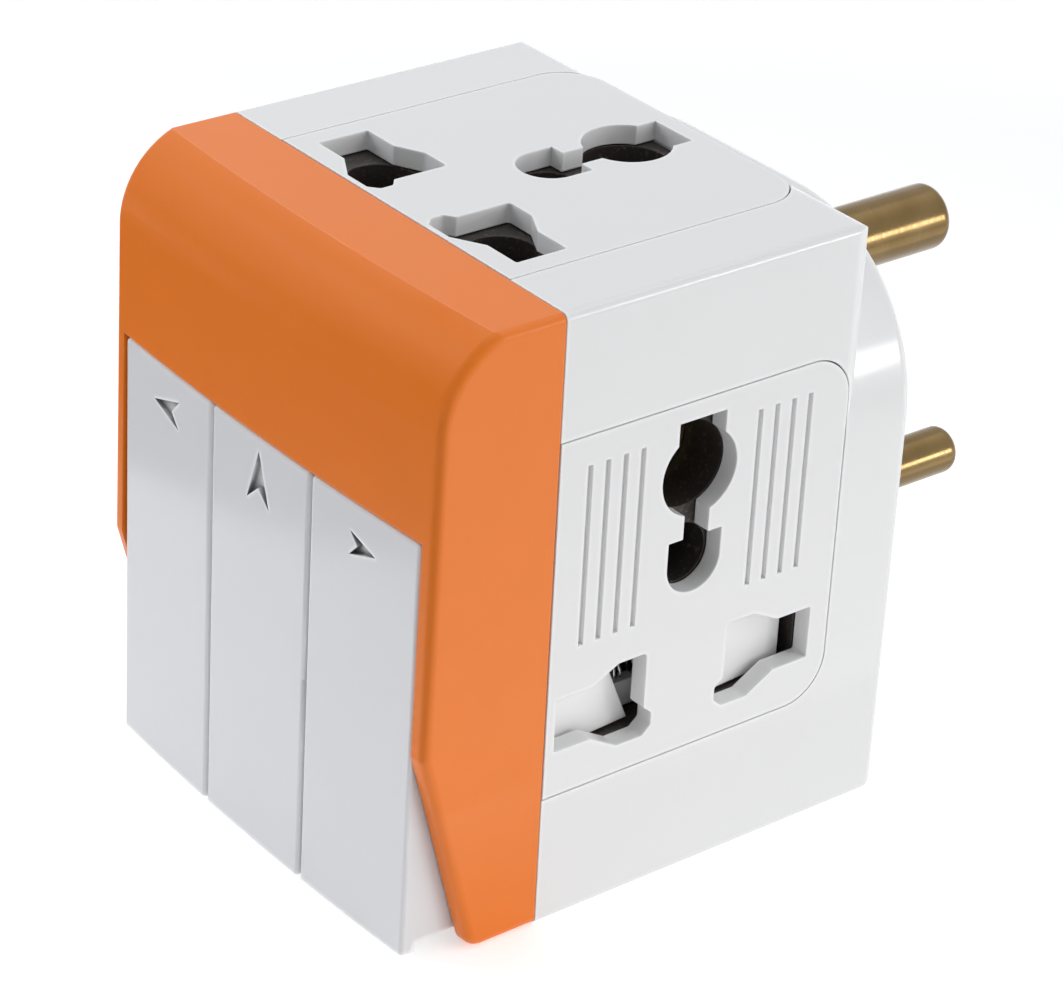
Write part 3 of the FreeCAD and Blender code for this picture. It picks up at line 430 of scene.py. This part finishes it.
@dataclass
class Finishes:
    """All the finishes of the adapter, made once."""

    # Painted highlight on the outward edges of the case and of the socket plates
    case_white: bpy.types.Material = field(default_factory=lambda: MouldedPlastic(
        "case_white_plastic", (0.80, 0.80, 0.80), roughness=0.17, painted_highlight_gain=1.15).make())
    plate_white: bpy.types.Material = field(default_factory=lambda: MouldedPlastic(
        "plate_white_plastic", (0.79, 0.79, 0.79), roughness=0.22, wave_per_metre=110.0,
        painted_highlight_gain=1.15).make())
    # The keys carry painted shade in their arrow marks and a painted highlight on their edges
    key_white: bpy.types.Material = field(default_factory=lambda: MouldedPlastic(
        "key_white_plastic", (0.733, 0.737, 0.75), roughness=0.14, wave_per_metre=60.0,
        wave_depth=0.00003, painted_shade_gain=0.3, painted_highlight_gain=1.34).make())
    cover_orange: bpy.types.Material = field(default_factory=lambda: MouldedPlastic(
        "cover_orange_plastic", (0.84, 0.188, 0.004), roughness=0.36, specular=0.42,
        mottle=0.02).make())
    shutter_white: bpy.types.Material = field(default_factory=lambda: MouldedPlastic(
        "shutter_white_nylon", (0.86, 0.86, 0.855), roughness=0.4).make())
    frame_grey: bpy.types.Material = field(default_factory=lambda: MouldedPlastic(
        "frame_grey_nylon", (0.42, 0.42, 0.42), roughness=0.5).make())
    base_resin: bpy.types.Material = field(default_factory=lambda: PhenolicResin(
        "base_dark_resin", (0.022, 0.017, 0.015)).make())
    pin_brass: bpy.types.Material = field(default_factory=lambda: TurnedBrass(
        "pin_turned_brass", (0.205, 0.14, 0.062), (0.175, 0.115, 0.048)).make())
    strip_brass: bpy.types.Material = field(default_factory=lambda: RolledStrip(
        "strip_rolled_brass", (0.66, 0.49, 0.22)).make())
    spring_steel: bpy.types.Material = field(default_factory=lambda: RolledStrip(
        "spring_drawn_steel", (0.55, 0.55, 0.56), roughness=0.28, lines=(1.0, 1.0, 40.0)).make())


def dress(node: str, material: bpy.types.Material) -> bpy.types.Object:
    """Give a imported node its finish.

    Args:
        node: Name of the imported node.
        material: Finish for the whole node.

    Returns:
        The node's object.
    """
    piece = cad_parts[node]
    piece.data.materials.clear()
    piece.data.materials.append(material)
    LOG.info("dressed %s with %s", node, material.name)
    return piece


def coil_mesh(name: str, start: Vector, end: Vector, radius: float, wire: float,
              turns: float) -> bpy.types.Object:
    """Round wire wound in a helix, with one closed turn at each end.

    Args:
        name: Name of the new piece.
        start: Centre of the first turn, in metres.
        end: Centre of the last turn, in metres.
        radius: Radius of the coil.
        wire: Radius of the wire.
        turns: Open turns between the closed ones.

    Returns:
        The coil as a mesh object.
    """
    closed = 0.8
    closed_pitch = 0.9 * wire
    steps_per_turn = 28
    sides = 10
    axis = (end - start).normalized()
    across = axis.orthogonal().normalized()
    other = axis.cross(across)
    length = (end - start).length - 4 * wire
    total = turns + 2 * closed
    steps = int(total * steps_per_turn)
    vertices: list[Vector] = []
    faces: list[tuple[int, ...]] = []
    for n in range(steps + 1):
        turn = total * n / steps
        open_share = min(max((turn - closed) / turns, 0.0), 1.0)
        rise = wire + closed_pitch * min(turn, closed) / closed + open_share * (length - wire)
        rise += closed_pitch * max(turn - closed - turns, 0.0) / closed
        angle = 2 * math.pi * turn
        out = across * math.cos(angle) + other * math.sin(angle)
        centre = start + axis * rise + out * radius
        for k in range(sides):
            tilt = 2 * math.pi * k / sides
            vertices.append(centre + (out * math.cos(tilt) + axis * math.sin(tilt)) * wire)
    for n in range(steps):
        for k in range(sides):
            a = n * sides + k
            b = n * sides + (k + 1) % sides
            faces.append((a, b, b + sides, a + sides))
    faces.append(tuple(reversed(range(sides))))
    faces.append(tuple(range(steps * sides, (steps + 1) * sides)))
    mesh = bpy.data.meshes.new(name)
    mesh.from_pydata([tuple(v) for v in vertices], [], faces)
    mesh.shade_smooth()
    piece = bpy.data.objects.new(name, mesh)
    bpy.context.scene.collection.objects.link(piece)
    return piece


@dataclass
class Case:
    """White housing, orange front cover, pin base and the screws that hold them."""

    finishes: Finishes

    def build(self) -> None:
        """Dress the case."""
        dress("main_housing", self.finishes.case_white)
        dress("front_cover", self.finishes.cover_orange)
        dress("pin_base", self.finishes.case_white)
        dress("housing_screws", self.finishes.spring_steel)


@dataclass
class PlugPins:
    """Three round pins that go into the wall socket."""

    finishes: Finishes
    names: tuple[str, ...] = ("earth_pin", "line_pin", "neutral_pin")

    def build(self) -> None:
        """Dress the pins."""
        for name in self.names:
            dress(name, self.finishes.pin_brass)


@dataclass
class SocketFace:
    """Socket plate with its insulating base, and a shutter where it has one."""

    finishes: Finishes
    side: Side
    coil_radius: float = 1.25 * MM
    wire_radius: float = 0.2 * MM
    turns: float = 5.0
    squashed_share: float = 0.20

    def build(self) -> None:
        """Dress the plate and the base, and wind the shutter spring."""
        word = self.side.value
        dress(f"socket_plate_{word}", self.finishes.plate_white)
        dress(f"socket_base_{word}", self.finishes.base_resin)
        if self.side is not Side.TOP:
            dress(f"shutter_{word}", self.finishes.shutter_white)
            self.wind_spring()

    def wind_spring(self) -> bpy.types.Object:
        """Wind the spring that returns the shutter.

        Returns:
            The spring.
        """
        word = self.side.value
        low, high = (Vector(corner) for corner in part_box(f"shutter_spring_{word}"))
        middle = (low + high) / 2
        start = Vector((middle.x, low.y, middle.z))
        end = Vector((middle.x, high.y, middle.z))
        spring = coil_mesh(f"shutter_coil_{word}", start, end, self.coil_radius,
                           self.wire_radius, self.turns)
        spring.data.materials.append(self.finishes.spring_steel)
        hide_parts(f"shutter_spring_{word}")
        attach(spring, "case")
        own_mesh(spring)
        LOG.info("wound %s", spring.name)
        return spring


@dataclass
class SwitchRow:
    """Three keys in their frame, each with a plunger, a spring and a rocker contact."""

    finishes: Finishes
    coil_radius: float = 1.25 * MM
    wire_radius: float = 0.2 * MM
    turns: float = 4.0

    def build(self) -> None:
        """Dress the keys and what they press on."""
        dress("switch_frame", self.finishes.frame_grey)
        for place in KeyPlace:
            self.build_key(place)

    def build_key(self, place: KeyPlace) -> None:
        """Dress one key and its mechanism.

        Args:
            place: Which key of the row.
        """
        word = place.value
        dress(f"switch_key_{word}", self.finishes.key_white)
        dress(f"plunger_{word}", self.finishes.frame_grey)
        dress(f"rocker_contact_{word}", self.finishes.strip_brass)
        low, high = (Vector(corner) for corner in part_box(f"plunger_spring_{word}"))
        middle = (low + high) / 2
        spring = coil_mesh(f"plunger_coil_{word}", Vector((middle.x, low.y, middle.z)),
                           Vector((middle.x, high.y, middle.z)), self.coil_radius,
                           self.wire_radius, self.turns)
        spring.data.materials.append(self.finishes.spring_steel)
        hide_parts(f"plunger_spring_{word}")
        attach(spring, f"key_{word}")
        LOG.info("wound %s", spring.name)


@dataclass
class Wiring:
    """Folded strips and contact sleeves inside the case."""

    finishes: Finishes
    names: tuple[str, ...] = ("earth_busbar", "neutral_busbar", "line_busbar",
                              "line_contact_left", "line_contact_top", "line_contact_right")

    def build(self) -> None:
        """Dress the strips."""
        for name in self.names:
            dress(name, self.finishes.strip_brass)


@dataclass(frozen=True)
class Lamp:
    """Square soft lamp aimed at the object."""

    name: str
    place: Point
    size: float
    power: float
    colour: Colour = WHITE
    seen_in_gloss: bool = True
    aim: Point = (0.0, 0.0, 0.03)

    def build(self, scene: bpy.types.Scene) -> None:
        """Hang the lamp.

        Args:
            scene: Scene that gets the lamp.
        """
        data = bpy.data.lights.new(self.name, "AREA")
        data.size = self.size
        data.energy = self.power
        data.color = self.colour
        lamp = bpy.data.objects.new(self.name, data)
        lamp.location = self.place
        lamp.rotation_mode = "QUATERNION"
        beam = Vector(self.aim) - Vector(self.place)
        lamp.rotation_quaternion = beam.to_track_quat("-Z", "Y")
        lamp.visible_glossy = self.seen_in_gloss
        scene.collection.objects.link(lamp)


@dataclass
class Studio:
    """Pale floor, soft lamps and the camera."""

    lamps: tuple[Lamp, ...] = (
        Lamp("right_lamp", (1.2, 0.9, 0.78), 1.3, 8.7, seen_in_gloss=False),
        Lamp("front_lamp", (-0.70, -0.51, 0.42), 0.56, 4.1, FAINT_BLUE, seen_in_gloss=False),
        Lamp("top_lamp", (0.1, 0.5, 1.9), 1.6, 9.8, BLUISH),
        Lamp("left_lamp", (-1.1, 0.38, 1.12), 0.5, 2.6, BLUISH),
        Lamp("rear_lamp", (1.23, 1.0, 0.24), 0.3, 2.9),
    )
    world_light: float = 0.34
    floor_size: float = 6.0
    floor_colour: Colour = (0.88, 0.88, 0.88)
    table_glow: tuple[float, float] = (0.32, 0.0)
    table_glow_radii: tuple[float, float] = (0.05, 0.18)
    background_lift: tuple[float, float] = (0.14, 0.6)
    background_lift_radii: tuple[float, float] = (0.15, 0.45)
    low_flag_corners: tuple[tuple[float, float], ...] = (
        (-0.30, -0.40), (0.30, -0.40), (0.30, -0.05), (0.03, -0.06), (-0.015, -0.095),
        (-0.043, -0.077), (-0.30, 0.08))
    card_lift: float = 0.0005
    card_dark: Colour = (0.03, 0.03, 0.03)
    tall_flag_feet: tuple[tuple[float, float], ...] = ((-0.75, -0.10), (-0.10, -0.75))
    tall_flag_height: float = 0.40
    glow_sides: tuple[float, float] = (0.042, 0.17)
    glow_reach: tuple[float, float] = (-0.045, 0.30)
    glow_strength: tuple[float, float] = (1.8, 1.0)
    camera_place: Point = (0.25054, -0.20150, 0.20709)
    azimuth: float = 51.191
    elevation: float = 28.969
    roll: float = 2.918
    lens: float = 125.004

    def build(self) -> None:
        """Set up everything around the object."""
        scene = bpy.context.scene
        scene.view_settings.view_transform = "Standard"
        self.build_world(scene)
        self.build_floor(scene)
        self.build_flags(scene)
        self.build_glow(scene)
        for lamp in self.lamps:
            lamp.build(scene)
        self.build_camera(scene)

    def background_rays(self, tree: bpy.types.NodeTree) -> bpy.types.NodeSocket:
        """Tell the rays that look at the background from those that light the object.

        Args:
            tree: Node tree of the floor or the world.

        Returns:
            An output that is 1 for camera, glossy and transmission rays.
        """
        path = tree.nodes.new("ShaderNodeLightPath")
        found = path.outputs["Is Camera Ray"]
        for kind in ("Is Glossy Ray", "Is Transmission Ray"):
            either = tree.nodes.new("ShaderNodeMath")
            either.operation = "MAXIMUM"
            tree.links.new(found, either.inputs[0])
            tree.links.new(path.outputs[kind], either.inputs[1])
            found = either.outputs["Value"]
        return found

    def glow(self, tree: bpy.types.NodeTree, value: bpy.types.NodeSocket,
             given: tuple[float, float], strength: tuple[float, float]) -> bpy.types.NodeSocket:
        """Light that changes with a value.

        Args:
            tree: Node tree of a material.
            value: What the strength follows.
            given: Values at which the change starts and ends.
            strength: Strength at the two.

        Returns:
            The emission output.
        """
        node = tree.nodes.new("ShaderNodeEmission")
        tree.links.new(mapped(tree, value, given, strength), node.inputs["Strength"])
        return node.outputs["Emission"]

    def added(self, tree: bpy.types.NodeTree, first: bpy.types.NodeSocket,
              second: bpy.types.NodeSocket) -> bpy.types.NodeSocket:
        """Sum of two shaders.

        Args:
            tree: Node tree of a material.
            first: One shader.
            second: The other shader.

        Returns:
            The shader output.
        """
        node = tree.nodes.new("ShaderNodeAddShader")
        tree.links.new(first, node.inputs[0])
        tree.links.new(second, node.inputs[1])
        return node.outputs["Shader"]

    def build_world(self, scene: bpy.types.Scene) -> None:
        """White surroundings for the camera and even light for the rest.

        Args:
            scene: Scene that gets the world.
        """
        world = bpy.data.worlds.new("studio_white")
        world.use_nodes = True
        scene.world = world
        nodes = world.node_tree.nodes
        links = world.node_tree.links
        light = nodes["Background"]
        light.inputs["Color"].default_value = (*WHITE, 1.0)
        light.inputs["Strength"].default_value = self.world_light
        seen = nodes.new("ShaderNodeBackground")
        seen.inputs["Color"].default_value = (*WHITE, 1.0)
        seen.inputs["Strength"].default_value = 1.0
        mix = nodes.new("ShaderNodeMixShader")
        links.new(self.background_rays(world.node_tree), mix.inputs["Fac"])
        links.new(light.outputs["Background"], mix.inputs[1])
        links.new(seen.outputs["Background"], mix.inputs[2])
        links.new(mix.outputs["Shader"], nodes["World Output"].inputs["Surface"])

    def build_floor(self, scene: bpy.types.Scene) -> None:
        """Flat pale floor that takes a soft shadow and glows a little under the object.

        Args:
            scene: Scene that gets the floor.
        """
        half = self.floor_size / 2
        mesh = bpy.data.meshes.new("studio_floor")
        mesh.from_pydata([(-half, -half, 0), (half, -half, 0), (half, half, 0), (-half, half, 0)],
                         [], [(0, 1, 2, 3)])
        floor = bpy.data.objects.new("studio_floor", mesh)
        scene.collection.objects.link(floor)
        material = bpy.data.materials.new("floor_white")
        material.use_nodes = True
        tree = material.node_tree
        shader = tree.nodes["Principled BSDF"]
        shader.inputs["Base Color"].default_value = (*self.floor_colour, 1.0)
        shader.inputs["Roughness"].default_value = 0.9
        shader.inputs["Specular IOR Level"].default_value = 0.1
        place = tree.nodes.new("ShaderNodeTexCoord")
        radius = tree.nodes.new("ShaderNodeVectorMath")
        radius.operation = "LENGTH"
        tree.links.new(place.outputs["Object"], radius.inputs["Vector"])
        away = radius.outputs["Value"]
        table = self.added(tree, shader.outputs["BSDF"],
                           self.glow(tree, away, self.table_glow_radii, self.table_glow))
        lifted = self.added(tree, table, self.glow(tree, away, self.background_lift_radii,
                                                   self.background_lift))
        mix = tree.nodes.new("ShaderNodeMixShader")
        tree.links.new(self.background_rays(tree), mix.inputs["Fac"])
        tree.links.new(table, mix.inputs[1])
        tree.links.new(lifted, mix.inputs[2])
        tree.links.new(mix.outputs["Shader"], tree.nodes["Material Output"].inputs["Surface"])
        mesh.materials.append(material)

    def build_glow(self, scene: bpy.types.Scene) -> None:
        """Bright patch of floor on the right of the object, which only gloss picks up.

        Args:
            scene: Scene that gets the patch.
        """
        material = bpy.data.materials.new("floor_glow")
        material.use_nodes = True
        tree = material.node_tree
        tree.nodes.remove(tree.nodes["Principled BSDF"])
        place = tree.nodes.new("ShaderNodeTexCoord")
        split = tree.nodes.new("ShaderNodeSeparateXYZ")
        tree.links.new(place.outputs["Object"], split.inputs["Vector"])
        tree.links.new(self.glow(tree, split.outputs["X"], self.glow_sides, self.glow_strength),
                       tree.nodes["Material Output"].inputs["Surface"])
        near, far = self.glow_sides
        low, high = self.glow_reach
        lift = self.card_lift
        self.lay_card(scene, "floor_glow", material,
                      [(near, low, lift), (far, low, lift), (far, high, lift), (near, high, lift)])

    def lay_card(self, scene: bpy.types.Scene, name: str, material: bpy.types.Material,
                 corners: list[Point]) -> None:
        """Put up a card that only gloss picks up.

        Args:
            scene: Scene that gets the card.
            name: Name of the card.
            material: What it is made of.
            corners: Its corners in order, in metres.
        """
        mesh = bpy.data.meshes.new(name)
        mesh.from_pydata(corners, [], [tuple(range(len(corners)))])
        mesh.materials.append(material)
        card = bpy.data.objects.new(name, mesh)
        scene.collection.objects.link(card)
        card.visible_camera = False
        card.visible_diffuse = False
        card.visible_shadow = False

    def build_flags(self, scene: bpy.types.Scene) -> None:
        """Dark cards before the keys, one lying and one standing, which only gloss picks up.

        Args:
            scene: Scene that gets the cards.
        """
        (x0, y0), (x1, y1) = self.tall_flag_feet
        cards = {
            "low_flag": [(x, y, self.card_lift) for x, y in self.low_flag_corners],
            "tall_flag": [(x0, y0, 0.0), (x1, y1, 0.0), (x1, y1, self.tall_flag_height),
                          (x0, y0, self.tall_flag_height)],
        }
        material = bpy.data.materials.new("flag_dark")
        material.use_nodes = True
        shader = material.node_tree.nodes["Principled BSDF"]
        shader.inputs["Base Color"].default_value = (*self.card_dark, 1.0)
        shader.inputs["Roughness"].default_value = 1.0
        for name, corners in cards.items():
            self.lay_card(scene, name, material, corners)

    def build_camera(self, scene: bpy.types.Scene) -> None:
        """Camera that looks down on the front right corner.

        Args:
            scene: Scene that gets the camera.
        """
        a = math.radians(self.azimuth)
        e = math.radians(self.elevation)
        back = Vector((math.sin(a) * math.cos(e), -math.cos(a) * math.cos(e), math.sin(e)))
        data = bpy.data.cameras.new("front_right_camera")
        data.sensor_width = 36.0
        data.lens = self.lens
        data.clip_start = 0.01
        data.clip_end = 50.0
        camera = bpy.data.objects.new("front_right_camera", data)
        camera.location = self.camera_place
        camera.rotation_mode = "QUATERNION"
        turn = Quaternion((0.0, 0.0, 1.0), math.radians(self.roll))
        camera.rotation_quaternion = (-back).to_track_quat("-Z", "Y") @ turn
        scene.collection.objects.link(camera)
        scene.camera = camera


def main() -> None:
    """Dress the adapter and set up the studio."""
    logging.basicConfig(level=logging.INFO, format="%(message)s")
    finishes = Finishes()
    Case(finishes).build()
    PlugPins(finishes).build()
    for side in Side:
        SocketFace(finishes, side).build()
    SwitchRow(finishes).build()
    Wiring(finishes).build()
    Studio().build()


if __name__ == "__main__":
    main()
